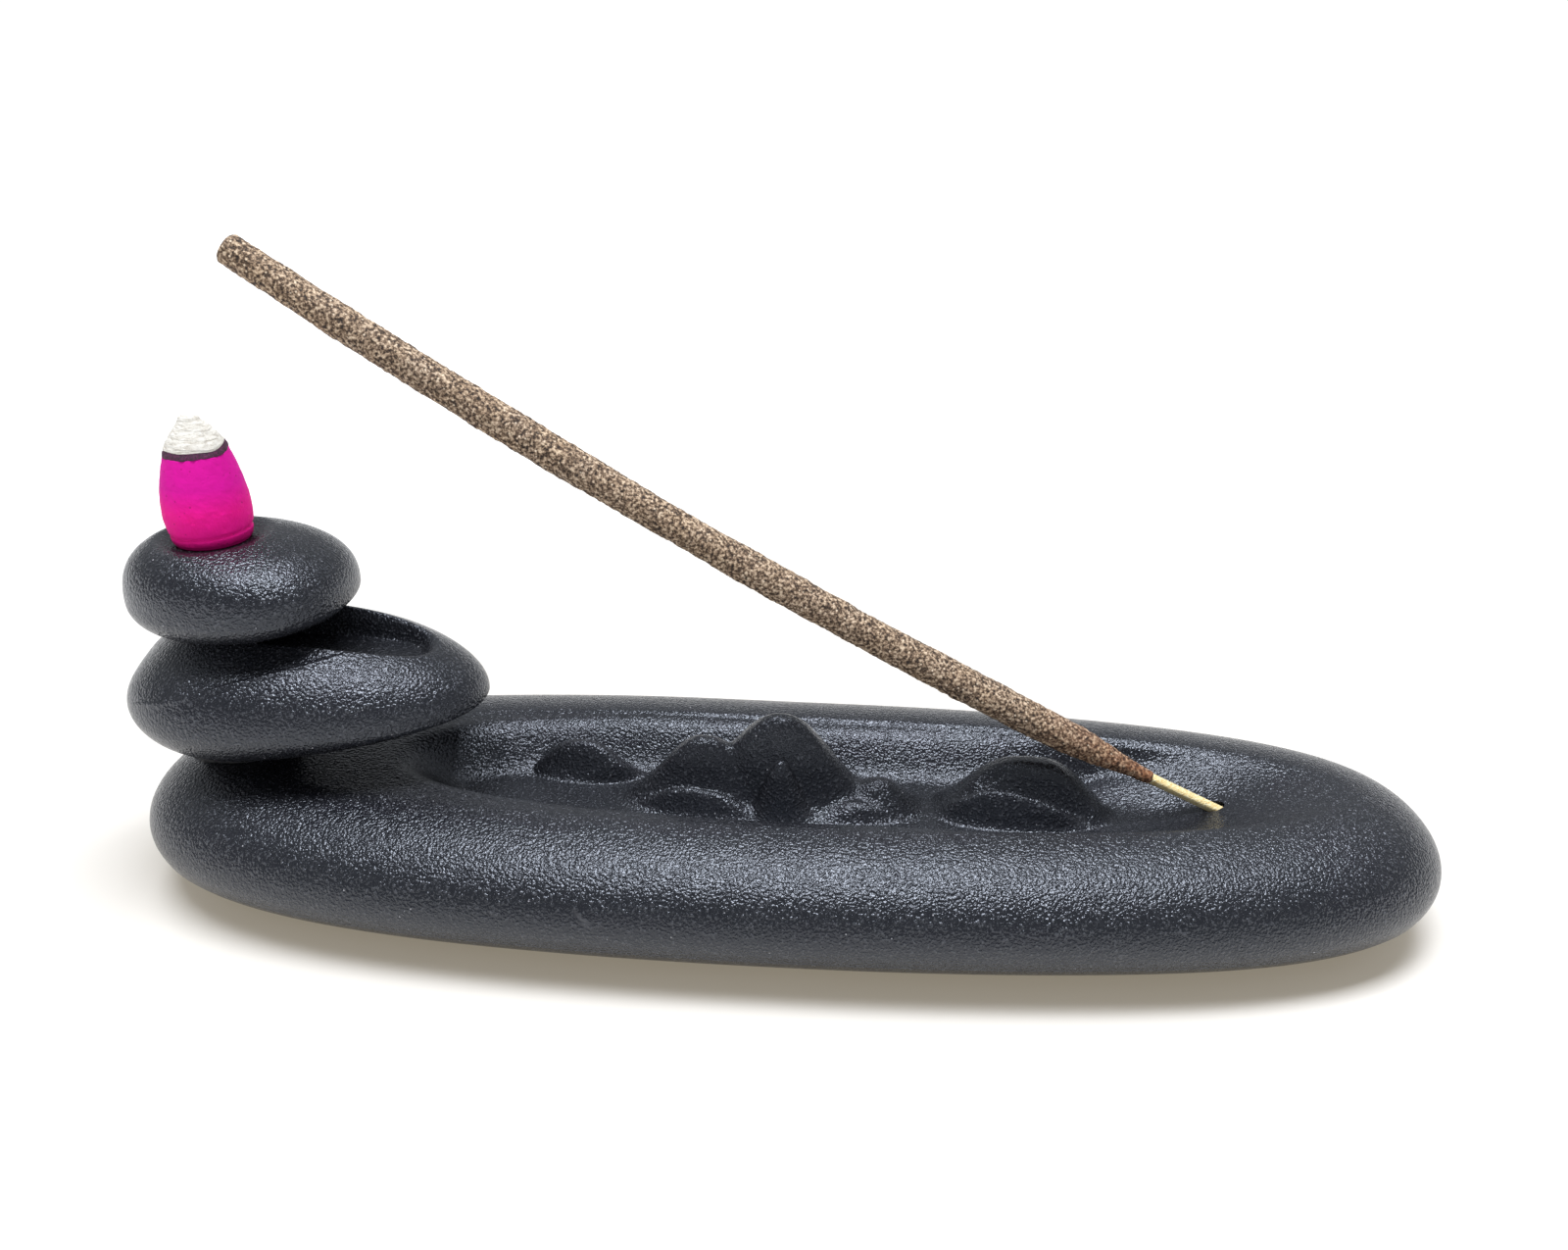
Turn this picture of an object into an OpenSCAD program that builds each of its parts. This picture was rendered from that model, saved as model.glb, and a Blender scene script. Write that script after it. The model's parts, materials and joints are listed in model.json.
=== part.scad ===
// Backflow incense burner: a hollow-cast oval tray with a dish, modelled hills on the
// dish floor, two pebbles luted on top of each other, an incense cone and an incense stick.
// Millimetres. The origin is on the table under the middle of the tray, +X runs along the
// tray from the pebbles to the stick hole, +Y to the back and +Z up.

/* [Tray] */
// Length of the tray over the outside
tray_l = 200; // [185:1:210]
// Width of the tray over the outside
tray_w = 61; // [58:0.5:66]
// Height of the tray's rim above the table
tray_h = 20.4; // [19:0.1:22]
// How far the rim rounds over, from its crest to the outside
rim_round = 14.2; // [12:0.1:15]
// Thickness of the cast wall
wall = 4.6; // [3.8:0.1:5]
// Height of the dish floor above the table
floor_z = 14; // [13.5:0.1:14.5]
// Thickness of the felt pad under the tray
felt_t = 0.8; // [0.5:0.1:1.5]

/* [Pebbles] */
// Middle of the lower pebble along the tray
lower_x = -73.3; // [-74:0.1:-72.5]
// Half length of the lower pebble
lower_a = 27; // [26.5:0.1:27.5]
// Half width of the lower pebble
lower_b = 17; // [16.5:0.1:18]
// Middle of the upper pebble along the tray
upper_x = -81.5; // [-82:0.1:-81]
// Half length of the upper pebble
upper_a = 16.5; // [16:0.1:17]
// Half width of the upper pebble
upper_b = 14; // [13.5:0.1:14.5]
// How far both pebbles sit behind the middle of the tray
stack_y = 1; // [0:0.1:2]
// Diameter of the smoke hole down through the upper pebble
smoke_d = 3.2; // [2.8:0.1:3.6]

/* [Cone] */
// Largest diameter of the incense cone
cone_d = 12.2; // [11.5:0.1:12.5]
// Height of the part of the cone that has not burned
cone_h = 13.2; // [12.5:0.1:14]
// Lean of the cone and its seat away from the dish, in degrees
cone_lean = 1.5; // [0:0.1:3]
// Diameter of the hole up inside the cone
cone_bore_d = 3; // [2.5:0.1:3.6]

/* [Stick] */
// Diameter of the bamboo core
bamboo_d = 1.65; // [1.4:0.05:1.8]
// Diameter of the rolled incense on the core
coating_d = 4.9; // [4:0.1:5.4]
// Diameter of the stick hole in the tray
stick_hole_d = 2.1; // [2:0.05:2.4]
// Slope of the stick where it enters the tray, in degrees
stick_slope = 25.1; // [24:0.1:27]
// Radius of the stick's slight upward curve
stick_bend_r = 1058; // [900:1:1400]

/* [Hidden] */

ceramic = [0.10, 0.11, 0.13];
sides = 60;

// Tray: the crest runs along an oval, and the rim rounds over outside it
crest_a = tray_l / 2 - rim_round;
crest_b = tray_w / 2 - rim_round;
crest_n = 2.3;
rim_mid_z = (tray_h + felt_t) / 2;
rim_half_h = (tray_h - felt_t) / 2;
brow_z = tray_h - 0.5;
brow = [8, 0, 70, 15.2, 2.5, -0.18];
floor_edge = [-1.5, 0, 52.5, 10.2, 2.3, -0.12];
foot_in = 4;

// Pebbles: [middle x, half length, half width, height of the widest section, reach up,
// reach down, squareness of the top, squareness of the bottom]
lower_form = [lower_x, lower_a, lower_b, 30.2, 12.2, 8, 2, 1.9];
upper_form = [upper_x, upper_a, upper_b, 46.4, 9.5, 6.2, 2.5, 2.1];
// How much wider, taller and deeper each pebble is at its +X end than in its middle
lower_egg = [-0.12, -0.14, -0.7];
upper_egg = [0.1, -0.12, -0.25];
plan_n = 2.15;
pole_q = 82;

// The dish in the top of the lower pebble, where the smoke pools
dish = [lower_x + 1.3, stack_y + 0.5, 19.5, 8, 2.1, 0];
dish_floor = [lower_x + 0.3, stack_y + 0.5, 16.5, 5.8, 2.6, 0];
dish_floor_z = 36.2;

// Luting: pads of clay that join the flattened feet of the pebbles to what is below
lower_foot_z = 21.8;
lower_luting = [lower_x - 11.4, stack_y, 8, 7.4, 2, 0];
lower_luting_z = tray_h - 1.2;
upper_foot_z = 40.6;
upper_luting_x = lower_x - 10.3;
upper_luting_y = 0.8;
upper_luting_in = 2.4;
upper_luting_out = 3.9;
upper_luting_open = 90;
cut_size = 80;

// Cone: the middle of its seat on the upper pebble
cone_x = -84.6;
cone_z = 54.2;
seat_r = 5.9;
char_h = 0.9;
cone_bore_depth = 9;

// Stick: the mouth of its hole, and angles along its curve from there
hole_x = 63.8;
hole_z = 17.3;
deg_per_mm = 180 / (PI * stick_bend_r);
buried = 8;
bare = 9.5;
taper = 16;
taper_d = 2;
lap = 0.4;
stick_l = 160;
bore_depth = 14;

function sign_pow(v, e) = sign(v) * pow(abs(v), e);

// Point at angle t on an egg-shaped oval: o = [middle x, middle y, half length,
// half width, squareness, how much wider the +X end is], drawn at height z
function oval(o, t, z) =
  let (u = sign_pow(cos(t), 2 / o[4]), v = sign_pow(sin(t), 2 / o[4]))
    [o[0] + o[2] * u, o[1] + o[3] * v * (1 + o[5] * u), z];

function oval_xy(o, t) = let (p = oval(o, t, 0)) [p[0], p[1]];

// Unit outward direction of the crest oval at angle t
function crest_out(t) =
  let (
    nx = sign_pow(cos(t), 2 - 2 / crest_n) / crest_a,
    ny = sign_pow(sin(t), 2 - 2 / crest_n) / crest_b,
    m = norm([nx, ny])
  ) [nx / m, ny / m, 0];

function crest(t, out, z) =
  oval([0, 0, crest_a, crest_b, crest_n, 0], t, z) + out * crest_out(t);

function ring_angles() = [for (i = [0:sides - 1]) (i + 0.5) * 360 / sides];

// A ring on the outside of the rim, q degrees up from its widest line, moved in by t_in
function rim_ring(q, t_in) = [
  for (t = ring_angles())
    crest(t, (rim_round - t_in) * cos(q), rim_mid_z + (rim_half_h - t_in) * sin(q))
];

// A ring on the slope of the dish, u = 0 at the floor and 1 at the brow
function slope_ring(u, out, down) = [
  for (t = ring_angles())
    let (
      z = floor_z + (brow_z - floor_z) * (1 - cos(180 * u)) / 2 - down,
      p = oval(floor_edge, t, z) * (1 - u) + oval(brow, t, z) * u
    ) p + out * crest_out(t)
];

function crest_ring(out, z) = [for (t = ring_angles()) crest(t, out, z)];

// Closed skin over a list of rings, with a flat face on the first and on the last
module skin(rings) {
  n = len(rings[0]);
  rows = len(rings);
  points = [for (r = rings) for (p = r) p];
  sides_a = [
    for (r = [0:rows - 2]) for (i = [0:n - 1])
      [r * n + i, r * n + (i + 1) % n, (r + 1) * n + (i + 1) % n]
  ];
  sides_b = [
    for (r = [0:rows - 2]) for (i = [0:n - 1])
      [r * n + i, (r + 1) * n + (i + 1) % n, (r + 1) * n + i]
  ];
  first = [[for (i = [0:n - 1]) n - 1 - i]];
  last = [[for (i = [0:n - 1]) (rows - 1) * n + i]];
  polyhedron(points, concat(sides_a, sides_b, first, last));
}

module tray_shell() {
  top = [for (i = [0:8]) slope_ring(i / 8, 0, 0)];
  over = [for (q = [90:-15:-90]) rim_ring(q, 0)];
  foot = [crest_ring(-foot_in, felt_t), crest_ring(-foot_in, felt_t + wall - 0.6)];
  inside = [for (q = [-90:22.5:90]) rim_ring(q, wall)];
  under = [for (u = [0.75, 0.5, 0.25, 0]) slope_ring(u, 2, wall)];
  skin([for (r = concat(top, over, foot, inside, under)) [for (i = [sides - 1:-1:0]) r[i]]]);
}

// Places children on the stick's axis at the mouth of its hole, +Z pointing up the stick
module at_stick_hole() {
  translate([hole_x, 0, hole_z]) rotate([0, stick_slope - 90, 0]) children();
}

module tray() {
  color(ceramic)
    difference() {
      tray_shell();
      at_stick_hole()
        translate([0, 0, -bore_depth]) cylinder(h = 2 * bore_depth, d = stick_hole_d, $fn = 32);
      lower_luting_block(tray_h);
    }
}

// Everything in the outline of the lower luting, from its underside up
module lower_luting_block(h) {
  translate([0, 0, lower_luting_z])
    linear_extrude(h) polygon([for (t = ring_angles()) oval_xy(lower_luting, t)]);
}

module felt_base() {
  color("darkslategray")
    linear_extrude(felt_t)
      polygon([for (p = crest_ring(-1, 0)) [p[0], p[1]]]);
}

// Hills: rounded bumps, each a dome over an oval, joined by a soft maximum
function bump(p, x, y, wx, wy, h) =
  h * max(0, 1 - pow(abs(p[0] - x) / wx, 1.8) - pow(abs(p[1] - y) / wy, 2));

function join_bumps(heights) = pow([for (h = heights) pow(h, 5)] * [for (h = heights) 1], 1 / 5);

function small_hill_height(p) = bump(p, -32.5, 6.3, 10, 4.6, 6.2);

function range_height(p) = join_bumps([
  bump(p, -1, 0.6, 13.5, 6.4, 15),
  bump(p, -12.5, 0.6, 12, 6, 10.4),
  bump(p, -20.5, -0.6, 5, 4.6, 3.4),
  bump(p, -13, -3, 6, 3.4, 5.4),
  bump(p, -0.7, -2.6, 4.6, 3.6, 10.4),
  bump(p, 13.6, -0.4, 7.6, 5.4, 5.6)
]);

function boulder_height(p) = join_bumps([
  bump(p, 34.6, 1, 13, 6.4, 9.4),
  bump(p, 42, -0.8, 8.4, 4.8, 6)
]);

// Rings that shrink from a hill's base oval to near its middle. Each point is lifted by
// the hill's own height, which is faded out to nothing at the base.
function hill_rings(base, rows, height) = [
  for (r = [0:rows])
    let (
      s = 1 - (1 - hill_middle) * r / rows,
      fade = min(1, hill_rise * sqrt(1 - s * s)),
      ring = [base[0], base[1], base[2] * s, base[3] * s, base[4], base[5]]
    )
      [for (t = ring_angles()) let (p = oval(ring, t, 0)) [p[0], p[1], floor_z + height(p) * fade]]
];

// Base ovals of the hills
small_hill_base = [-32.6, 6.2, 8.3, 3, 1.7, 0];
range_base = [-2, -0.2, 22.4, 5.6, 2.4, 0];
boulder_base = [35.6, 0.8, 12.4, 5.4, 2.2, -0.1];
// Size of the last ring of a hill, and how steeply a hill rises from its base
hill_middle = 0.03;
hill_rise = 1.5;

module small_hill() {
  color(ceramic) skin(hill_rings(small_hill_base, 8, function(p) small_hill_height(p)));
}

module mountain_range() {
  color(ceramic) skin(hill_rings(range_base, 14, function(p) range_height(p)));
}

module right_boulder() {
  color(ceramic) skin(hill_rings(boulder_base, 10, function(p) boulder_height(p)));
}

// A ring round a pebble, q degrees up from its widest section
function pebble_ring(form, egg, q) = [
  for (t = ring_angles())
    let (
      n = q > 0 ? form[6] : form[7],
      r = pow(cos(q), 2 / n),
      u = r * sign_pow(cos(t), 2 / plan_n),
      v = r * sign_pow(sin(t), 2 / plan_n),
      h = q > 0 ? form[4] * (1 + egg[1] * u) : form[5] * (1 + egg[2] * u),
      y = stack_y + form[2] * v * (1 + egg[0] * u)
    ) [form[0] + form[1] * u, y, form[3] + h * sign_pow(sin(q), 2 / n)]
];

// Height of a pebble's top above the plan point p
function pebble_top(form, egg, p) =
  let (
    u = (p[0] - form[0]) / form[1],
    v = (p[1] - stack_y) / (form[2] * (1 + egg[0] * u)),
    r = pow(pow(abs(u), plan_n) + pow(abs(v), plan_n), 1 / plan_n)
  ) form[3] + form[4] * (1 + egg[1] * u) * pow(max(0, 1 - pow(r, form[6])), 1 / form[6]);

function flat_to(ring, z) = [for (p = ring) [p[0], p[1], z]];

// A ring on the lower pebble's top, w = 0 at the widest section and 1 at the dish's rim
function shoulder_ring(w) =
  let (widest = pebble_ring(lower_form, lower_egg, 0), angles = ring_angles())
    [
      for (i = [0:sides - 1])
        let (p = widest[i] * (1 - w) + oval(dish, angles[i], widest[i][2]) * w)
          [p[0], p[1], pebble_top(lower_form, lower_egg, p)]
    ];

// A ring inside the dish, s = 0 at its rim and 1 at its floor
function dish_ring(s) = [
  for (t = ring_angles())
    let (
      rim = oval(dish, t, 0),
      p = rim * (1 - s) + oval(dish_floor, t, 0) * s,
      top = pebble_top(lower_form, lower_egg, rim)
    ) [p[0], p[1], top + (dish_floor_z - top) * (1 - cos(180 * s)) / 2]
];

// Everything below height z, to flatten a pebble's foot
module below(z) {
  translate([upper_x - cut_size / 2, -cut_size / 2, z - cut_size]) cube(cut_size);
}

module lower_pebble_skin() {
  foot = flat_to(pebble_ring(lower_form, lower_egg, -pole_q), lower_form[3] - lower_form[5]);
  under = [for (q = [-70:10:0]) pebble_ring(lower_form, lower_egg, q)];
  shoulder = [for (w = [0.03, 0.1, 0.22, 0.38, 0.58, 0.8, 1]) shoulder_ring(w)];
  hollow = [for (s = [0.25, 0.5, 0.75, 1]) dish_ring(s)];
  skin(concat([foot], under, shoulder, hollow));
}

module upper_pebble_skin() {
  foot = flat_to(pebble_ring(upper_form, upper_egg, -pole_q), upper_form[3] - upper_form[5]);
  side = [for (q = [-70:10:70]) pebble_ring(upper_form, upper_egg, q)];
  crown = flat_to(pebble_ring(upper_form, upper_egg, pole_q), upper_form[3] + upper_form[4]);
  skin(concat([foot], side, [crown]));
}

module lower_pebble() {
  color(ceramic)
    difference() {
      lower_pebble_skin();
      below(lower_foot_z);
    }
}

// Places children on the cone's seat, +Z along the cone
module at_cone() {
  translate([cone_x, stack_y, cone_z]) rotate([0, -cone_lean, 0]) children();
}

module upper_pebble() {
  color(ceramic)
    difference() {
      upper_pebble_skin();
      below(upper_foot_z);
      at_cone() cylinder(h = 6, r = seat_r, $fn = 48);
      at_cone() translate([0, 0, -30]) cylinder(h = 40, d = smoke_d, $fn = 32);
    }
}

module lower_luting() {
  color("dimgray") lower_luting_block(lower_foot_z - lower_luting_z);
}

// A ring of clay, open towards the dish so that the smoke can pour out
module upper_luting() {
  color("dimgray")
    translate([upper_luting_x, upper_luting_y, dish_floor_z])
      rotate([0, 0, upper_luting_open / 2])
        rotate_extrude(angle = 360 - upper_luting_open, $fn = 48)
          translate([upper_luting_in, 0])
            square([upper_luting_out - upper_luting_in, upper_foot_z - dish_floor_z]);
}

// Cone profile: radius at a fraction f of the unburned height
function cone_r(f) = cone_d / 2 * (0.83 + 0.17 * sin(180 * pow(f, 0.8)) - 0.11 * f * f);

ash_r = cone_r(1) * 0.93;

module cone_body() {
  side = [for (i = [0:12]) [cone_r(i / 12), cone_h * i / 12]];
  color([0.88, 0.05, 0.58])
    at_cone()
      difference() {
        rotate_extrude($fn = 64) polygon(concat([[0, 0]], side, [[0, cone_h]]));
        translate([0, 0, -1]) cylinder(h = cone_bore_depth + 1, d = cone_bore_d, $fn = 32);
      }
}

module char_band() {
  color([0.16, 0.03, 0.14])
    at_cone()
      translate([0, 0, cone_h])
        cylinder(h = char_h, r1 = cone_r(1), r2 = ash_r, $fn = 64);
}

// Ash: radii as parts of its base and the heights they are at
module ash_cap() {
  side = [[1, 0], [0.84, 1.2], [0.62, 2.6], [0.4, 3.7], [0.14, 4.4], [0, 4.4]];
  color([0.86, 0.85, 0.80])
    at_cone()
      translate([0, 0, cone_h + char_h])
        rotate_extrude($fn = 48)
          polygon(concat([[0, 0]], [for (p = side) [ash_r * p[0], p[1]]]));
}

// Places children on the stick's curve at a distance from the hole, +Z along the curve
module on_stick(distance) {
  at_stick_hole()
    translate([stick_bend_r, 0, 0])
      rotate([0, distance * deg_per_mm, 0])
        translate([-stick_bend_r, 0, 0]) children();
}

// Sweeps children from one distance to another along the stick's curve
module along_stick(from, to) {
  at_stick_hole()
    translate([stick_bend_r, 0, 0])
      rotate([90, 0, 0])
        rotate([0, 0, 180 - to * deg_per_mm])
          rotate_extrude(angle = (to - from) * deg_per_mm, $fn = 360)
            translate([stick_bend_r, 0]) children();
}

module stick_core() {
  color("burlywood") along_stick(-buried, stick_l - 0.6) circle(d = bamboo_d, $fn = 32);
}

// A tapered start that runs a little way into the even part, which is a hair thicker
module stick_coating() {
  color([0.50, 0.42, 0.36])
    difference() {
      union() {
        along_stick(bare + taper, stick_l) circle(d = coating_d, $fn = 32);
        on_stick(bare + taper)
          translate([0, 0, -taper])
            cylinder(h = taper + lap, d1 = taper_d, d2 = coating_d - lap / 3, $fn = 32);
      }
      along_stick(bare - 1, stick_l + 1) circle(d = bamboo_d, $fn = 32);
    }
}

felt_base();
tray();
small_hill();
mountain_range();
right_boulder();
lower_luting();
lower_pebble();
upper_luting();
upper_pebble();
cone_body();
char_band();
ash_cap();
stick_core();
stick_coating();
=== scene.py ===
import itertools
import json
import math

import bmesh
import bpy
import numpy as np
from mathutils import Matrix, Vector


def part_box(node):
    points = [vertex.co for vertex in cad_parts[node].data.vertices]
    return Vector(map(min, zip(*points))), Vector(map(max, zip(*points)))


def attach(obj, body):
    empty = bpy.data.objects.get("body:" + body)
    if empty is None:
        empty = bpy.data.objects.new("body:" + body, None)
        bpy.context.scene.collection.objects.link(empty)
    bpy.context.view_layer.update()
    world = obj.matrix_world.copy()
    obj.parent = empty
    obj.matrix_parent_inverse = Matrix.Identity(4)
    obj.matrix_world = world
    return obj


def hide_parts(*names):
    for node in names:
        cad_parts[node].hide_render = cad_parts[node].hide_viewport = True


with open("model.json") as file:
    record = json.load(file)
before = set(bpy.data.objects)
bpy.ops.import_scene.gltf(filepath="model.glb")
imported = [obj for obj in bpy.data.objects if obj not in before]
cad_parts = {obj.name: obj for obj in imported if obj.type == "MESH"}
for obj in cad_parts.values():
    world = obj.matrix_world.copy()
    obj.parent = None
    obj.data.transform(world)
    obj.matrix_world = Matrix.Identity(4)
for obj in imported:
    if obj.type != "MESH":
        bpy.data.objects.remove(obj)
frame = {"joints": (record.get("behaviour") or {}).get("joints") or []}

# Looks of a backflow incense burner. Shapes are worked out in millimetres in the frame's
# own axes and written to the meshes in metres. Each piece stands for one CAD node.
MM = 0.001
SHARP_ANGLE = math.radians(45)
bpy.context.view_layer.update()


def box_mm(node):
    low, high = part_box(node)
    return np.array(low) / MM, np.array(high) / MM


# ------------------------ curves and noise

def sign_pow(value, power):
    return np.sign(value) * np.abs(value) ** power


def oval(shape, angle):
    """Plan points of an egg-shaped oval: (middle x, middle y, half length, half width,
    squareness, how much wider the +X end is)."""
    x, y, a, b, n, egg = shape
    u = sign_pow(np.cos(angle), 2 / n)
    v = sign_pow(np.sin(angle), 2 / n)
    return np.stack([x + a * u, y + b * v * (1 + egg * u)], -1)


def turn_angles(sides):
    return np.linspace(0, 2 * np.pi, sides, endpoint=False)


def at_height(plan, z):
    return np.concatenate([plan, np.broadcast_to(z, plan.shape[:-1])[..., None]], -1)


def smooth_step(low, high, value):
    k = np.clip((value - low) / (high - low), 0, 1)
    return k * k * (3 - 2 * k)


def noise(points, size, seed):
    """Smooth noise from -1 to 1 whose features are about size millimetres."""
    table = np.random.default_rng(seed).uniform(-1, 1, 4096)
    cell = np.asarray(points) / size
    low = np.floor(cell).astype(np.int64)
    part = cell - low
    part = part * part * (3 - 2 * part)
    total = np.zeros(cell.shape[:-1])
    for corner in itertools.product((0, 1), repeat=3):
        knot = low + corner
        key = knot[..., 0] * 73856093 ^ knot[..., 1] * 19349663 ^ knot[..., 2] * 83492791
        total += table[key % 4096] * np.prod(np.where(corner, part, 1 - part), axis=-1)
    return total


def fractal(points, size, seed, octaves=3):
    return sum(noise(points, size / 2**k, seed + k) / 2**k for k in range(octaves))


def along_curve(knots, count):
    """Smooth curve through given plan points (Catmull-Rom), count points a span."""
    p = np.array([knots[0], *knots, knots[-1]], float)
    k = np.linspace(0, 1, count, endpoint=False)[:, None]
    spans = []
    for a, b, c, d in zip(p, p[1:], p[2:], p[3:]):
        spans.append(b + (c - a) / 2 * k + (a - 2.5 * b + 2 * c - d / 2) * k**2
                     + (1.5 * (b - c) + (d - a) / 2) * k**3)
    return np.concatenate([*spans, p[-1:]])


def distance_to(line, x, y):
    """Distance of plan points from a line of points, and which side of it they are on."""
    line = np.asarray(line, float)
    start, step = line[:-1], np.diff(line, axis=0)
    point = np.stack([x, y], -1)[..., None, :] - start
    k = np.clip((point * step).sum(-1) / (step**2).sum(-1), 0, 1)
    gap = point - k[..., None] * step
    far = np.linalg.norm(gap, axis=-1)
    near = far.argmin(-1)
    gap = np.take_along_axis(gap, near[..., None, None], -2)[..., 0, :]
    side = step[near][..., 0] * gap[..., 1] - step[near][..., 1] * gap[..., 0]
    return far.min(-1), np.sign(side)


# ------------------------ meshes

def add_object(name, data):
    obj = bpy.data.objects.new(name, data)
    bpy.context.scene.collection.objects.link(obj)
    return obj


def new_object(name, points, faces):
    mesh = bpy.data.meshes.new(name)
    mesh.from_pydata((np.asarray(points) * MM).tolist(), [], faces)
    work = bmesh.new()
    work.from_mesh(mesh)
    bmesh.ops.recalc_face_normals(work, faces=work.faces)
    work.to_mesh(mesh)
    work.free()
    mesh.shade_smooth()
    return add_object(name, mesh)


def quads_between(index):
    """Quads between each row of point numbers and the next."""
    ahead = np.roll(index, -1, axis=1)
    quads = np.stack([index[:-1], ahead[:-1], ahead[1:], index[1:]], -1)
    return quads.reshape(-1, 4).tolist()


def skin(name, rings):
    """Closed skin over rings (rows, sides, 3), with a middle point at each end."""
    rings = np.asarray(rings, float)
    rows, sides = rings.shape[:2]
    index = np.arange(rows * sides).reshape(rows, sides)
    middles = np.stack([rings[0].mean(0), rings[-1].mean(0)])
    points = np.concatenate([rings.reshape(-1, 3), middles])
    faces = quads_between(index)
    for middle, ring in ((rows * sides, index[0]), (rows * sides + 1, index[-1])):
        faces += [[middle, int(a), int(b)] for a, b in zip(ring, np.roll(ring, -1))]
    return new_object(name, points, faces)


def loop_skin(name, rings):
    """Closed skin over rings whose last row meets the first again."""
    rings = np.asarray(rings, float)
    rows, sides = rings.shape[:2]
    index = np.arange(rows * sides).reshape(rows, sides)
    return new_object(name, rings.reshape(-1, 3), quads_between(np.vstack([index, index[:1]])))


def cut(obj, cutter):
    """Cuts one closed mesh out of another and drops the cutter."""
    modifier = obj.modifiers.new("cut", "BOOLEAN")
    modifier.object = cutter
    modifier.operation = "DIFFERENCE"
    modifier.solver = "EXACT"
    graph = bpy.context.evaluated_depsgraph_get()
    mesh = bpy.data.meshes.new_from_object(obj.evaluated_get(graph))
    obj.modifiers.clear()
    obj.data = mesh
    mesh.set_sharp_from_angle(angle=SHARP_ANGLE)
    bpy.data.objects.remove(cutter)


# ------------------------ materials

class Paint:
    """A node material that is built in a few calls."""

    def __init__(self, name):
        self.material = bpy.data.materials.new(name)
        self.material.use_nodes = True
        self.tree = self.material.node_tree
        self.shader = self.tree.nodes["Principled BSDF"]
        self.place = self.node("ShaderNodeTexCoord").outputs["Object"]

    def node(self, kind, **values):
        made = self.tree.nodes.new(kind)
        for key, value in values.items():
            setattr(made, key, value)
        return made

    def link(self, source, target):
        if hasattr(source, "is_output"):
            self.tree.links.new(source, target)
        else:
            target.default_value = source

    def mapped(self, turn=(0, 0, 0), scale=(1, 1, 1)):
        """Object coordinates, turned and then scaled."""
        turned = self.node("ShaderNodeMapping", vector_type="POINT")
        self.link(self.place, turned.inputs["Vector"])
        turned.inputs["Rotation"].default_value = turn
        scaled = self.node("ShaderNodeMapping", vector_type="POINT")
        self.link(turned.outputs["Vector"], scaled.inputs["Vector"])
        scaled.inputs["Scale"].default_value = scale
        return scaled.outputs["Vector"]

    def part_way(self, axis, start_mm, end_mm):
        """0 at one coordinate on an axis and 1 at another."""
        axes = self.node("ShaderNodeSeparateXYZ")
        self.link(self.place, axes.inputs[0])
        run = self.math("SUBTRACT", axes.outputs[axis], start_mm * MM)
        return self.math("DIVIDE", run, (end_mm - start_mm) * MM)

    def noise(self, size_mm, detail=2.0, rough=0.5, place=None, distortion=0.0):
        made = self.node("ShaderNodeTexNoise")
        self.link(place or self.place, made.inputs["Vector"])
        made.inputs["Scale"].default_value = 1 / (size_mm * MM)
        made.inputs["Detail"].default_value = detail
        made.inputs["Roughness"].default_value = rough
        made.inputs["Distortion"].default_value = distortion
        return made.outputs["Fac"]

    def cells(self, size_mm, place=None):
        """Cells with a Distance from their middle and a random Color each."""
        made = self.node("ShaderNodeTexVoronoi")
        self.link(place or self.place, made.inputs["Vector"])
        made.inputs["Scale"].default_value = 1 / (size_mm * MM)
        return made.outputs

    def dots(self, size_mm, radius, strength, share, place=None):
        """Round dots in the middles of some cells: a radius and a share as ramp ranges."""
        cells = self.cells(size_mm, place)
        dot = self.ramp(cells["Distance"], (radius[0], strength), (radius[1], 0.0))
        picked = self.ramp(cells["Color"], (share[0], 0.0), (share[1], 1.0))
        return self.math("MULTIPLY", dot, picked)

    def ramp(self, value, *stops):
        """Stops are (position, colour or grey)."""
        made = self.node("ShaderNodeValToRGB")
        self.link(value, made.inputs["Fac"])
        elements = made.color_ramp.elements
        while len(elements) < len(stops):
            elements.new(0.5)
        for element, (position, colour) in zip(elements, stops):
            element.position = position
            grey = isinstance(colour, (int, float))
            element.color = (colour,) * 3 + (1,) if grey else (*colour, 1)
        return made.outputs["Color"]

    def math(self, operation, a, b=0.0):
        made = self.node("ShaderNodeMath", operation=operation)
        self.link(a, made.inputs[0])
        self.link(b, made.inputs[1])
        return made.outputs[0]

    def mix(self, amount, a, b, **options):
        made = self.node("ShaderNodeMix", data_type="RGBA", **options)
        self.link(amount, made.inputs["Factor"])
        for value, socket in ((a, made.inputs["A"]), (b, made.inputs["B"])):
            self.link((*value, 1) if isinstance(value, tuple) else value, socket)
        return made.outputs["Result"]

    def bump(self, *layers):
        """Layers are (height, depth in millimetres)."""
        normal = None
        for height, depth in layers:
            made = self.node("ShaderNodeBump")
            made.inputs["Strength"].default_value = 1
            made.inputs["Distance"].default_value = depth * MM
            self.link(height, made.inputs["Height"])
            if normal:
                self.link(normal, made.inputs["Normal"])
            normal = made.outputs["Normal"]
        self.link(normal, self.shader.inputs["Normal"])

    def set(self, **sockets):
        for name, value in sockets.items():
            socket = self.shader.inputs[name.replace("_", " ")]
            self.link((*value, 1) if isinstance(value, tuple) else value, socket)
        return self.material


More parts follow.
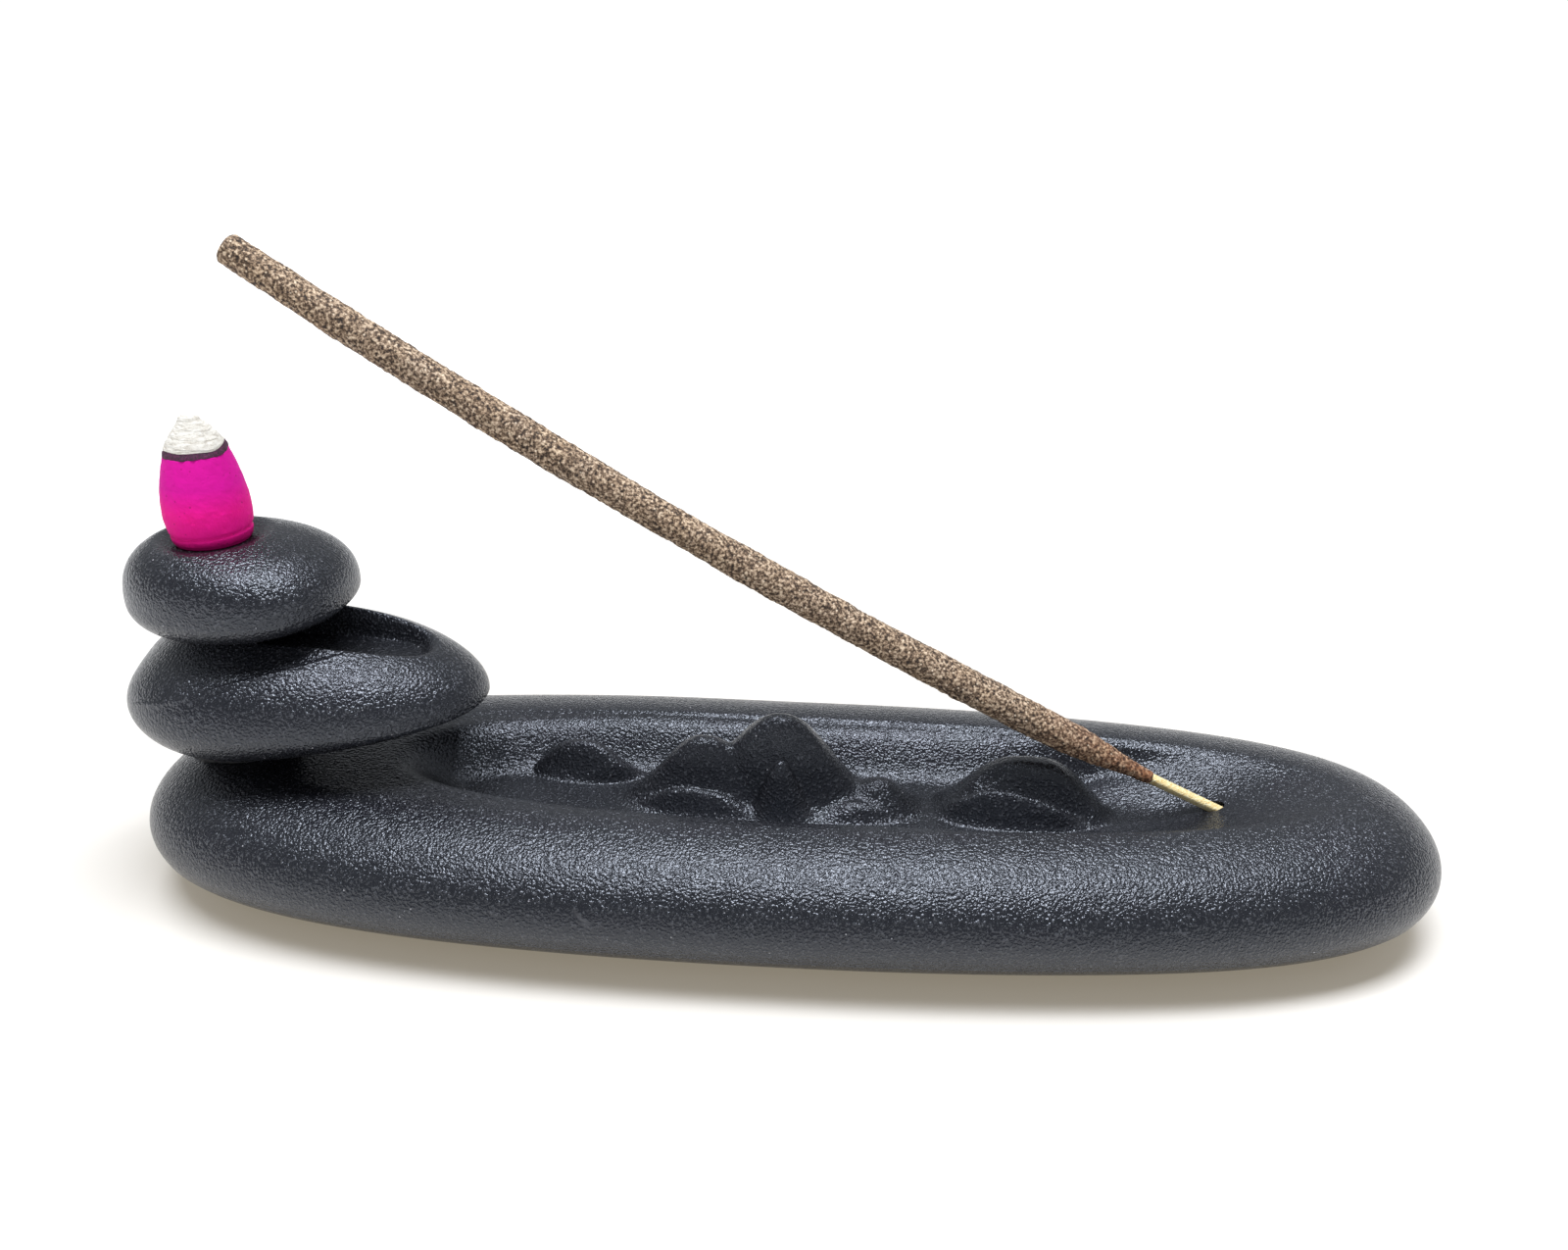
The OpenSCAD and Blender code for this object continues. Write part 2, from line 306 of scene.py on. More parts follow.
def ceramic_paint():
    paint = Paint("black_ceramic")
    clouds = paint.noise(14, 4, 0.6)
    mottle = paint.noise(1.6, 3, 0.6)
    body = paint.mix(clouds, (0.0060, 0.0065, 0.0090), (0.0110, 0.0115, 0.0150))
    body = paint.mix(paint.ramp(mottle, (0.35, 0.0), (0.75, 0.6)), body, (0.015, 0.0155, 0.019))
    # White dust: a speck in half of the cells
    dust = paint.dots(2.3, (0.036, 0.060), 1.0, (0.50, 0.52))
    body = paint.mix(dust, body, (0.40, 0.40, 0.43))
    # Hair-fine scratches: short stretches of a level line of soft noise
    level = paint.math("ABSOLUTE", paint.math("SUBTRACT", paint.noise(30, 0, 0), 0.5))
    line = paint.ramp(level, (0.0005, 1.0), (0.0014, 0.0))
    stretch = paint.ramp(paint.noise(9, 1, 0.5), (0.72, 0.0), (0.76, 1.0))
    scratch = paint.math("MULTIPLY", line, stretch)
    body = paint.mix(scratch, body, (0.06, 0.06, 0.065))
    grain = paint.noise(0.40, 1, 0.5)
    # Lighter bluish flecks on the grain's high spots: painted glints that stand in for the
    # glaze's sparkle
    body = paint.mix(paint.ramp(grain, (0.58, 0.0), (0.70, 0.8)), body, (0.065, 0.068, 0.078))
    peel = paint.noise(2.2, 2, 0.5)
    paint.bump((peel, 0.03), (grain, 0.24))
    rough = paint.ramp(paint.noise(0.9, 3, 0.6), (0.3, 0.16), (0.7, 0.28))
    return paint.set(Base_Color=body, Roughness=rough, Specular_IOR_Level=0.7,
                     Specular_Tint=(0.82, 0.88, 1.0))


def joint_paint():
    paint = Paint("clay_joint")
    body = paint.mix(paint.noise(2.5, 4, 0.6), (0.008, 0.008, 0.010), (0.022, 0.022, 0.024))
    paint.bump((paint.noise(1.4, 4, 0.6), 0.18), (paint.noise(0.35, 2, 0.5), 0.07))
    rough = paint.ramp(paint.noise(0.8, 3, 0.6), (0.3, 0.55), (0.7, 0.75))
    return paint.set(Base_Color=body, Roughness=rough)


def felt_paint():
    paint = Paint("felt")
    along = paint.mapped(scale=(1, 1, 6))
    fibres = paint.noise(0.5, 6, 0.7, place=along, distortion=1.2)
    body = paint.mix(fibres, (0.006, 0.006, 0.008), (0.035, 0.035, 0.040))
    paint.bump((fibres, 0.25), (paint.noise(0.12, 3, 0.6), 0.05))
    rough = paint.ramp(fibres, (0.3, 0.85), (0.7, 0.98))
    return paint.set(Base_Color=body, Roughness=rough, Sheen_Weight=0.35)


def cone_paint(base_z, top_z):
    """Pressed magenta powder: purpler towards the burnt top, redder in the foot ring."""
    paint = Paint("magenta_incense")
    up = paint.part_way("Z", base_z, top_z)
    clouds = paint.noise(2.2, 4, 0.6)
    grains = paint.noise(0.30, 3, 0.6)
    body = paint.mix(clouds, (0.84, 0.0035, 0.22), (0.92, 0.006, 0.31))
    body = paint.mix(paint.ramp(grains, (0.35, 0.0), (0.8, 0.55)), body, (0.95, 0.016, 0.38))
    body = paint.mix(paint.ramp(up, (0.06, 0.75), (0.14, 0.0)), body, (0.70, 0.004, 0.19))
    body = paint.mix(paint.ramp(up, (0.42, 0.0), (0.68, 0.6)), body, (0.52, 0.004, 0.34))
    dark = paint.dots(0.9, (0.10, 0.2), 0.55, (0.6, 0.62))
    body = paint.mix(dark, body, (0.25, 0.003, 0.07))
    paint.bump((paint.noise(0.8, 3, 0.6), 0.06), (grains, 0.05))
    rough = paint.ramp(grains, (0.3, 0.66), (0.7, 0.85))
    return paint.set(Base_Color=body, Roughness=rough, Specular_IOR_Level=0.15)


def char_paint():
    paint = Paint("charred_incense")
    specks = paint.noise(0.28, 4, 0.7)
    body = paint.ramp(specks, (0.32, (0.016, 0.005, 0.013)), (0.52, (0.060, 0.012, 0.042)),
                      (0.75, (0.20, 0.03, 0.12)))
    paint.bump((paint.noise(0.5, 4, 0.65), 0.14), (specks, 0.05))
    rough = paint.ramp(specks, (0.3, 0.6), (0.7, 0.9))
    return paint.set(Base_Color=body, Roughness=rough)


def ash_paint():
    paint = Paint("ash")
    layers = paint.mapped(scale=(1, 1, 4))
    flakes = paint.noise(1.3, 5, 0.65, place=layers, distortion=0.6)
    body = paint.ramp(flakes, (0.28, (0.46, 0.42, 0.36)), (0.46, (0.72, 0.69, 0.63)),
                      (0.62, (0.82, 0.80, 0.75)))
    crumbs = paint.ramp(paint.noise(0.25, 3, 0.6), (0.30, 0.5), (0.42, 0.0))
    body = paint.mix(crumbs, body, (0.42, 0.38, 0.33))
    paint.bump((flakes, 0.22), (paint.noise(0.22, 3, 0.6), 0.06))
    rough = paint.ramp(flakes, (0.3, 0.8), (0.7, 0.96))
    return paint.set(Base_Color=body, Roughness=rough, Specular_IOR_Level=0.2)


def bamboo_paint(slope):
    """Split bamboo: fibres run along the stick, which slopes up towards -X."""
    paint = Paint("bamboo")
    along = paint.mapped(turn=(0, slope, 0), scale=(0.05, 1, 1))
    fibres = paint.noise(0.26, 4, 0.6, place=along)
    body = paint.ramp(fibres, (0.24, (0.24, 0.12, 0.030)), (0.36, (0.70, 0.48, 0.18)),
                      (0.53, (0.90, 0.76, 0.41)), (0.70, (0.96, 0.88, 0.64)))
    pores = paint.ramp(paint.noise(0.5, 3, 0.6), (0.27, 0.8), (0.34, 0.0))
    body = paint.mix(pores, body, (0.12, 0.055, 0.015))
    paint.bump((fibres, 0.10), (paint.noise(0.15, 2, 0.5), 0.01))
    rough = paint.ramp(fibres, (0.3, 0.45), (0.7, 0.62))
    return paint.set(Base_Color=body, Roughness=rough)


def coating_paint(foot_x, even_x):
    """Rolled incense: tan and dark grains, redder where the coating tapers out."""
    paint = Paint("brown_incense")
    grains = paint.noise(0.46, 3, 0.62)
    body = paint.ramp(grains, (0.35, (0.016, 0.010, 0.008)), (0.46, (0.11, 0.074, 0.050)),
                      (0.55, (0.34, 0.26, 0.19)), (0.66, (0.68, 0.58, 0.46)))
    bright = paint.dots(0.62, (0.16, 0.30), 0.85, (0.58, 0.62))
    body = paint.mix(bright, body, (0.80, 0.71, 0.58))
    # Near-black dots: painted shade of pits in the rough coating
    pit_shade_dots = paint.dots(0.55, (0.15, 0.28), 0.9, (0.55, 0.60), paint.mapped(turn=(0.4, 0.7, 0.2)))
    body = paint.mix(pit_shade_dots, body, (0.014, 0.009, 0.007))
    warm = paint.mix(paint.noise(5, 3, 0.6), (0.92, 0.90, 0.92), (1.0, 0.88, 0.72))
    tinted = paint.mix(1, body, warm, blend_type="MULTIPLY")
    amount = paint.ramp(paint.part_way("X", even_x, foot_x), (0.0, 0.0), (0.75, 0.62), (1.0, 0.9))
    patches = paint.ramp(paint.noise(1.1, 3, 0.6), (0.3, 0.4), (0.6, 1.0))
    patchy = paint.math("MULTIPLY", amount, patches)
    red = paint.ramp(grains, (0.35, (0.035, 0.012, 0.006)), (0.60, (0.28, 0.10, 0.035)),
                     (0.78, (0.62, 0.36, 0.14)))
    body = paint.mix(patchy, tinted, red)
    paint.bump((paint.noise(0.9, 3, 0.6), 0.12), (grains, 0.12))
    rough = paint.ramp(grains, (0.3, 0.7), (0.7, 0.92))
    return paint.set(Base_Color=body, Roughness=rough, Specular_IOR_Level=0.4)


def finish_piece(obj, node, body, material):
    obj.data.materials.clear()
    obj.data.materials.append(material)
    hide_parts(node)
    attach(obj, body)


# ------------------------ camera

# Where the camera stands: degrees round and up, and millimetres from its aim
CAMERA_AIM = np.array([-1.0, 0.0, 44.5])
CAMERA_TURN = 2.3
CAMERA_RISE = 25.0
CAMERA_DISTANCE = 179.0
CAMERA_ROLL = 1.35
# Focal length and sensor width in millimetres
CAMERA_LENS = 28.125
CAMERA_SENSOR = 36


def make_camera():
    turn = math.radians(CAMERA_TURN)
    rise = math.radians(CAMERA_RISE)
    roll = math.radians(CAMERA_ROLL)
    back = np.array([math.sin(turn) * math.cos(rise), -math.cos(turn) * math.cos(rise),
                     math.sin(rise)])
    level = np.cross(-back, [0, 0, 1])
    level /= np.linalg.norm(level)
    upright = np.cross(level, -back)
    right = level * math.cos(roll) + upright * math.sin(roll)
    up = upright * math.cos(roll) - level * math.sin(roll)
    place = (CAMERA_AIM + back * CAMERA_DISTANCE) * MM
    data = bpy.data.cameras.new("camera")
    data.lens = CAMERA_LENS
    data.sensor_width = CAMERA_SENSOR
    data.clip_start = 0.01
    data.clip_end = 50
    camera = add_object("camera", data)
    columns = np.eye(4)
    columns[:3, 0] = right
    columns[:3, 1] = up
    columns[:3, 2] = back
    columns[:3, 3] = place
    camera.matrix_world = Matrix(columns.tolist())
    bpy.context.scene.camera = camera


make_camera()


# ------------------------ tray

FELT_TOP = box_mm("felt_base")[1][2]
TRAY_LOW, TRAY_HIGH = box_mm("tray")
TRAY_SIDES = 420
WALL = 4.6
FLOOR_Z = 14.0
# The rim's section is half an oval, this far out from the crest line, which is an oval too
RIM_ROUND = 14.2
CREST_N = 2.3
CREST_A = (TRAY_HIGH[0] - TRAY_LOW[0]) / 2 - RIM_ROUND
CREST_B = (TRAY_HIGH[1] - TRAY_LOW[1]) / 2 - RIM_ROUND
RIM_MID_Z = (TRAY_HIGH[2] + FELT_TOP) / 2
RIM_HALF_H = (TRAY_HIGH[2] - FELT_TOP) / 2
# The opening underneath starts this far in from the crest line
FOOT_IN = 4.0
# The brow is where the dish's wall turns over into the rim. It is BROW_DROP below the crest at
# the dish's ends, BROW_FAR from it, and BROW_TURN more along the sides, BROW_NEAR to it. Its
# slope is BROW_SLOPE times the mean slope from there up to the crest
BROW = (8, 0, 70, 15.1, 2.5, -0.10)
BROW_DROP = 0.22
BROW_TURN = 0.60
BROW_FAR, BROW_NEAR = 14, 3
BROW_SLOPE = 1.8
FLOOR_EDGE = (1.0, 0, 50.0, 6.2, 2.0, -0.06)
# A faint mould seam round the outside
SEAM_Z = 7.0
SEAM_OUT = 0.07
SEAM_WIDTH = 0.3
# Unevenness of a hand-finished cast: how much, how long its waves are, and its seed
UNEVEN_ACROSS = (0.14, 34, 11)
UNEVEN_UP = (0.10, 26, 12)
# Mouth of the stick hole; the stick's axis is its joint's
HOLE = np.array([63.8, 0.0, 17.3])
# Half width of the hole, and how far its middle is from the stick's axis: it shows past the
# stick at the end away from the dish
HOLE_R = 1.3
HOLE_SHIFT = np.array([0.3, 0, 0])
HOLE_REACH = 14
JOINTS = {joint["name"]: joint for joint in frame["joints"]}
STICK_AXIS = np.array(JOINTS["stick_pull"]["axis"], float)


def crest_out(angle):
    x = sign_pow(np.cos(angle), 2 - 2 / CREST_N) / CREST_A
    y = sign_pow(np.sin(angle), 2 - 2 / CREST_N) / CREST_B
    return np.stack([x, y], -1) / np.hypot(x, y)[:, None]


def crest_ring(angle, out, z):
    plan = oval((0, 0, CREST_A, CREST_B, CREST_N, 0), angle) + out * crest_out(angle)
    return at_height(plan, z)


def rim_ring(angle, degrees, thinner=0.0):
    q = math.radians(degrees)
    z = RIM_MID_Z + (RIM_HALF_H - thinner) * math.sin(q)
    seam = 0 if thinner else SEAM_OUT * math.exp(-((z - SEAM_Z) / SEAM_WIDTH) ** 2)
    return crest_ring(angle, (RIM_ROUND - thinner) * math.cos(q) + seam, z)


def ease(k, low, high, slope_low, slope_high):
    """Height at a part k of a run from low to high, with the rise per run at each end."""
    return (low * (2 * k**3 - 3 * k**2 + 1) + high * (3 * k**2 - 2 * k**3)
            + slope_low * (k**3 - 2 * k**2 + k) + slope_high * (k**3 - k**2))


def soft_ease(k, low, high, slope_high):
    """Like ease, but it leaves low level and straight at both ends, so no line shows."""
    swell = k**3 * (10 - 15 * k + 6 * k**2)
    return low + (high - low) * swell + slope_high * k**3 * (-4 + 7 * k - 3 * k**2)


def dish_rings(angle):
    """The dish's wall, from its floor over its brow to the crest of the rim."""
    low = oval(FLOOR_EDGE, angle)
    brow = oval(BROW, angle)
    top = oval((0, 0, CREST_A, CREST_B, CREST_N, 0), angle)
    first = np.linalg.norm(brow - low, axis=1)
    second = np.linalg.norm(top - brow, axis=1)
    drop = BROW_DROP + BROW_TURN * smooth_step(BROW_FAR, BROW_NEAR, second)
    brow_z = TRAY_HIGH[2] - drop
    slope = BROW_SLOPE * drop / second
    rings = []
    for k in np.linspace(0, 1, 60)[1:]:
        z = soft_ease(k, FLOOR_Z, brow_z, slope * first)
        rings.append(at_height(low + (brow - low) * k, z))
    for k in np.linspace(0, 1, 12)[1:]:
        z = ease(k, brow_z, TRAY_HIGH[2], slope * second, 0)
        rings.append(at_height(brow + (top - brow) * k, z))
    return rings


def under_rings(angle):
    """The hollow underside, from its opening up inside the rim and in under the dish."""
    rings = [crest_ring(angle, -FOOT_IN, z) for z in (FELT_TOP, FELT_TOP + WALL - 0.6)]
    rings += [rim_ring(angle, q, WALL) for q in range(-90, 91, 10)]
    floor = oval(FLOOR_EDGE, angle)
    brow = oval(BROW, angle)
    for k in np.linspace(0.8, 0, 9):
        rise = (TRAY_HIGH[2] - BROW_DROP - FLOOR_Z) * (1 - math.cos(math.pi * k)) / 2
        plan = floor * (1 - k) + brow * k + 2 * crest_out(angle)
        rings.append(at_height(plan, FLOOR_Z + rise - WALL))
    return rings


def make_tray():
    angle = turn_angles(TRAY_SIDES)
    floor = oval(FLOOR_EDGE, angle)
    middle = np.array(FLOOR_EDGE[:2], float)
    rings = [at_height(middle + (floor - middle) * s, FLOOR_Z) for s in np.linspace(0.03, 1, 26)]
    rings += dish_rings(angle)
    rim = [*np.arange(88, -14, -2), *np.arange(-14, -28, -0.6), *np.arange(-28, -91, -2.6), -90]
    rings += [rim_ring(angle, q) for q in rim]
    hand = np.array(rings)
    # The unevenness fades out near the dish floor, and leaves the foot's height alone
    depth = smooth_step(FLOOR_Z, FLOOR_Z + 3, hand[..., 2]) + smooth_step(12, 9, hand[..., 2])
    depth = np.minimum(depth, 1)
    amount, size, seed = UNEVEN_ACROSS
    hand[..., 1] += amount * depth * noise(hand, size, seed)
    amount, size, seed = UNEVEN_UP
    hand[..., 2] += amount * depth * noise(hand, size, seed) * (hand[..., 2] > 3)
    tray = skin("tray_cast", np.concatenate([hand, np.array(under_rings(angle))]))
    cut(tray, hole_cutter())
    return tray


def on_axis(points, origin, axis):
    """Turns points drawn round +Z to lie round an axis in the XZ plane."""
    side = np.array([axis[2], 0, -axis[0]])
    back = np.cross(axis, side)
    points = np.asarray(points, float)
    return origin + points[..., :1] * side + points[..., 1:2] * back + points[..., 2:] * axis


def tube_rings(profile, sides, origin, axis):
    """Rings round an axis from a profile of (radius, height)."""
    angle = turn_angles(sides)
    circle = np.stack([np.cos(angle), np.sin(angle)], -1)
    rings = [at_height(r * circle, z) for r, z in profile]
    return on_axis(np.array(rings), origin, axis)


def hole_cutter():
    profile = [(HOLE_R, z) for z in (-HOLE_REACH, -4, 4, HOLE_REACH)]
    return skin("hole_cutter", tube_rings(profile, 48, HOLE + HOLE_SHIFT, STICK_AXIS))


# ------------------------ hills

def mound(x, y, at, size, high, power=(2.2, 2.0)):
    """A rounded form that flares softly into the ground."""
    return high * np.exp(-np.abs((x - at[0]) / size[0]) ** power[0]
                         - np.abs((y - at[1]) / size[1]) ** power[1])


def join(heights, softness=0.5):
    """The highest of several forms, with soft valleys between them."""
    total = sum(np.exp(h / softness) for h in heights) - (len(heights) - 1)
    return softness * np.log(total)


def groove(x, y, line, width):
    """1 along a line of plan points, fading out over width."""
    return np.exp(-((distance_to(line, x, y)[0] / width) ** 2))


def small_hill_height(x, y):
    return mound(x, y + 0.12 * (x + 33), (-32.9, 6.1), (6.9, 2.35), 5.9, (2.7, 2.8))


def range_height(x, y):
    peak = mound(x, y, (-1.2, 0.9), (10.6, 3.7), 15.0, (2.2, 3.0))
    boss = mound(x, y, (-0.8, -3.1), (3.6, 2.3), 9.2, (2.0, 2.3))
    left_peak = mound(x, y, (-12.7, 0.5), (8.3, 3.3), 10.9, (2.3, 2.8))
    # The left foothill is aslant, and lower towards the peak
    left_high = 3.9 - 0.10 * (x + 13)
    left_foot = mound(x, y + 0.06 * (x + 13), (-13.0, -3.8), (7.6, 1.5), left_high, (3.0, 2.2))
    right_shoulder = mound(x, y, (14.2, 0.1), (5.2, 3.4), 5.0, (2.2, 2.4))
    right_foot = mound(x, y, (10.5, -3.4), (5.0, 2.0), 2.6)
    hills = join([peak, left_peak, left_foot, boss, right_shoulder, right_foot], 0.7)
    return hills - 0.9 * groove(x, y, [(-7.8, -1.4), (-5.2, -3.6), (-4.4, -5.2)], 1.1)


def boulder_height(x, y):
    back = mound(x, y, (37.0, 1.2), (10.4, 3.8), 9.1, (3.0, 3.0))
    leaf_high = 5.2 - 0.14 * (x - 35)
    leaf = mound(x, y + 0.07 * (x - 35), (35.0, -2.9), (9.6, 1.8), leaf_high, (3.0, 2.4))
    between = [(30, -0.6), (35, -1.4), (40.5, -2.0), (46, -2.6)]
    return join([back, leaf], 0.4) - 0.5 * groove(x, y, between, 0.7)


# A hill starts a little outside its base oval and a little below the dish floor
HILL_REACH = 1.16
HILL_SINK = 0.4


def make_hill(name, base, height, rows=120, sides=320):
    """A hill on the dish floor: its height inside a base oval."""
    angle = turn_angles(sides)
    middle = np.array(base[:2], float)
    edge = oval(base, angle)
    rings = []
    for s in np.linspace(HILL_REACH, 0.01, rows):
        plan = middle + (edge - middle) * s
        rise = np.maximum(height(*plan.T), 0) * smooth_step(HILL_REACH - 0.02, 0.86, s)
        rings.append(at_height(plan, FLOOR_Z - 0.02 + rise))
    rings = np.array(rings)
    clear = smooth_step(0.3, 1.5, rings[..., 2] - FLOOR_Z)
    rings[..., 2] += 0.05 * fractal(rings, 2.4, 21) * clear
    foot = at_height(rings[0][:, :2], FLOOR_Z - HILL_SINK)
    return skin(name, np.concatenate([foot[None], rings]))


SMALL_HILL_BASE = (-32.6, 6.2, 9.0, 3.6, 1.8, 0)
RANGE_BASE = (-2, -0.2, 23.4, 5.9, 2.4, 0)
BOULDER_BASE = (36.6, 0.6, 13.6, 5.8, 2.2, -0.1)


# ------------------------ pebbles

PLAN_N = 2.15


class Pebble:
    """A rounded stone: its plan is an oval, and it is deeper and taller at one end.
    egg is how much wider, taller and deeper it is at +X than in its middle."""

    def __init__(self, node, mid_z, up, down, top_n, bottom_n, egg):
        low, high = box_mm(node)
        self.x, self.y = (low + high)[:2] / 2
        self.a = (high[0] - low[0]) / 2
        self.egg, self.tall_egg, self.deep_egg = egg
        widest = oval((0, 0, 1, 1, PLAN_N, self.egg), turn_angles(720))[:, 1].max()
        self.b = (high[1] - low[1]) / 2 / widest
        self.mid_z, self.up, self.down = mid_z, up, down
        self.top_n, self.bottom_n = top_n, bottom_n

    def plan(self, angle, r):
        u = r * sign_pow(np.cos(angle), 2 / PLAN_N)
        v = r * sign_pow(np.sin(angle), 2 / PLAN_N)
        return u, np.stack([self.x + self.a * u, self.y + self.b * v * (1 + self.egg * u)], -1)

    def crown(self, x, y):
        """Height of the top above plan points."""
        u = (x - self.x) / self.a
        v = (y - self.y) / (self.b * (1 + self.egg * u))
        r = (np.abs(u) ** PLAN_N + np.abs(v) ** PLAN_N) ** (1 / PLAN_N)
        dome = np.clip(1 - r**self.top_n, 0, 1) ** (1 / self.top_n)
        return self.mid_z + self.up * (1 + self.tall_egg * u) * dome

    def under(self, angle, rows, foot_z):
        """Rings of the underside, from its middle out to the widest section."""
        rings = []
        for q in np.linspace(89, 0, rows):
            r = math.cos(math.radians(q)) ** (2 / self.bottom_n)
            u, plan = self.plan(angle, r)
            drop = math.sin(math.radians(q)) ** (2 / self.bottom_n)
            z = self.mid_z - self.down * (1 + self.deep_egg * u) * drop
            rings.append(at_height(plan, np.maximum(z, foot_z)))
        return rings

    def side_radii(self, rows, last):
        """Plan radii from the widest section inwards, close together where it is steep."""
        q = np.radians(np.linspace(0, last, rows))
        return np.cos(q) ** (2 / self.top_n)


LOWER = Pebble("lower_pebble", mid_z=30.2, up=12.2, down=8, top_n=2, bottom_n=1.9,
               egg=(-0.12, -0.14, -0.7))
UPPER = Pebble("upper_pebble", mid_z=46.4, up=9.5, down=6.2, top_n=2.5, bottom_n=2.1,
               egg=(0.1, -0.12, -0.25))
DISH = (LOWER.x + 1.3, LOWER.y + 0.5, 19.5, 8, 2.1, 0)
DISH_FLOOR = (LOWER.x + 0.3, LOWER.y + 0.5, 16.5, 5.8, 2.6, 0)
DISH_FLOOR_Z = 36.2
LOWER_FOOT_Z = box_mm("lower_pebble")[0][2]
UPPER_FOOT_Z = box_mm("upper_pebble")[0][2]
# The carved terrace on the front of the lower pebble starts at a crease along this line
CREASE = [(-103, -3), (-98, -8), (-94, -11.2), (-89, -13.3), (-84, -13.7), (-79, -13),
          (-73.5, -11.4), (-68, -9), (-64, -6.2), (-60, -2)]
TERRACE_END_X = -63.0
TERRACE_WIDTH = 8.0
# A measure of its depth, as a part of its width
TERRACE_DEPTH = 0.42
LIP_H = 0.20
LIP_WIDTH = 0.42


def oval_reach(shape, x, y):
    """How far plan points are from an oval's middle, as a part of the way to its edge."""
    u = np.abs(x - shape[0]) / shape[2]
    v = np.abs(y - shape[1]) / shape[3]
    return (u ** shape[4] + v ** shape[4]) ** (1 / shape[4])


def terrace(x, y):
    """Depth carved from the lower pebble behind the crease, which has a fine raised lip."""
    far, side = distance_to(along_curve(CREASE, 16), x, y)
    width = np.clip((TERRACE_END_X - x) * 0.6, 0.01, TERRACE_WIDTH)
    run = np.clip(far * side / width, 0, 1)
    carved = TERRACE_DEPTH * width * run * (1 - run) ** 1.3
    # Distances and heights along the surface, which is steep at the pebble's end
    step = 0.05
    crown = LOWER.crown(x, y)
    slope = np.hypot(LOWER.crown(x + step, y) - crown, LOWER.crown(x, y + step) - crown) / step
    steep = np.sqrt(1 + np.minimum(slope, 4) ** 2)
    lip = LIP_H * steep * np.exp(-((far * steep / LIP_WIDTH) ** 2))
    return (carved - lip) * smooth_step(0, 1.5, width)


def lower_top(x, y):
    crown = LOWER.crown(x, y) - terrace(x, y)
    rim = oval_reach(DISH, x, y)
    floor = oval_reach(DISH_FLOOR, x, y)
    # 0 at the rim and 1 at the floor, by how far a point is between the two ovals
    inward = np.where(rim > 1, 0, np.where(floor < 1, 1, (1 - rim) / (floor - rim).clip(1e-3)))
    sink = (1 - np.cos(np.pi * inward.clip(0, 1))) / 2
    return crown + (DISH_FLOOR_Z - crown) * sink


# The first angle is just off the X axis, so no point sits on the ovals' seam
ANGLE_SHIFT = 0.001


def worn(rings, amount, size, seeds, foot_z):
    """The rings, moved a little in all directions except at the cut-off foot."""
    moved = np.stack([noise(rings, size, seed) for seed in seeds], -1)
    return rings + amount * moved * (rings[..., 2:] > foot_z + 0.5)


def make_lower_pebble(sides=480):
    angle = turn_angles(sides) + ANGLE_SHIFT
    rings = LOWER.under(angle, rows=44, foot_z=LOWER_FOOT_Z)
    steep = LOWER.side_radii(rows=40, last=38)[1:]
    for r in [*steep, *np.linspace(steep[-1], 0.005, 130)[1:]]:
        _, plan = LOWER.plan(angle, r)
        rings.append(at_height(plan, lower_top(*plan.T)))
    rings = worn(np.array(rings), 0.12, 14, (31, 32, 33), LOWER_FOOT_Z)
    return skin("lower_pebble_cast", rings)


CONE_AXIS = np.array(JOINTS["cone_lift"]["axis"], float)
# The cone's seat: a flat place in the upper pebble's top that fades out in a dimple round it,
# with the smoke hole in it
SEAT = np.array([-84.6, UPPER.y, 54.2])
SEAT_R = 5.4
DIMPLE_R = 9.0
SMOKE_R = 1.6
SMOKE_LIP = 0.3


def upper_top(x, y):
    crown = UPPER.crown(x, y)
    flat = SEAT[2] - (x - SEAT[0]) * CONE_AXIS[0] / CONE_AXIS[2]
    away = np.hypot(x - SEAT[0], y - SEAT[1])
    sink = 1 - smooth_step(SEAT_R, DIMPLE_R, away)
    return crown + (np.minimum(flat, crown) - crown) * sink


def make_upper_pebble(sides=400):
    angle = turn_angles(sides) + ANGLE_SHIFT
    circle = np.stack([np.cos(angle), np.sin(angle)], -1)
    # The smoke hole runs down along the cone's axis
    lean = (SEAT[2] - UPPER_FOOT_Z) * CONE_AXIS[0] / CONE_AXIS[2]
    mouth = SEAT[:2] + SMOKE_R * circle
    end = SEAT[:2] - (lean, 0) + SMOKE_R * circle
    lip = SEAT[:2] + (SMOKE_R + SMOKE_LIP) * circle
    foot = UPPER.under(angle, rows=46, foot_z=UPPER_FOOT_Z)
    first = next(i for i, ring in enumerate(foot) if np.ptp(ring[:, 1]) > 6 * SMOKE_R)
    out = foot[first][:, :2] - end
    rings = [at_height(end + out * k, UPPER_FOOT_Z) for k in (0, 0.3, 0.6)]
    rings += foot[first:]
    for r in UPPER.side_radii(rows=46, last=50)[1:]:
        _, plan = UPPER.plan(angle, r)
        rings.append(at_height(plan, upper_top(*plan.T)))
    last = rings[-1][:, :2]
    for k in np.linspace(0, 1, 100)[1:]:
        plan = last + (lip - last) * k
        rings.append(at_height(plan, upper_top(*plan.T)))
    rings.append(at_height(mouth, SEAT[2] - 0.25))
    for k in (0.1, 0.3, 0.6, 0.9):
        rings.append(at_height(mouth + (end - mouth) * k,
                               SEAT[2] + (UPPER_FOOT_Z - SEAT[2]) * k))
    rings = worn(np.array(rings), 0.08, 12, (41, 42, 43), UPPER_FOOT_Z)
    return loop_skin("upper_pebble_cast", rings)


# ------------------------ luting

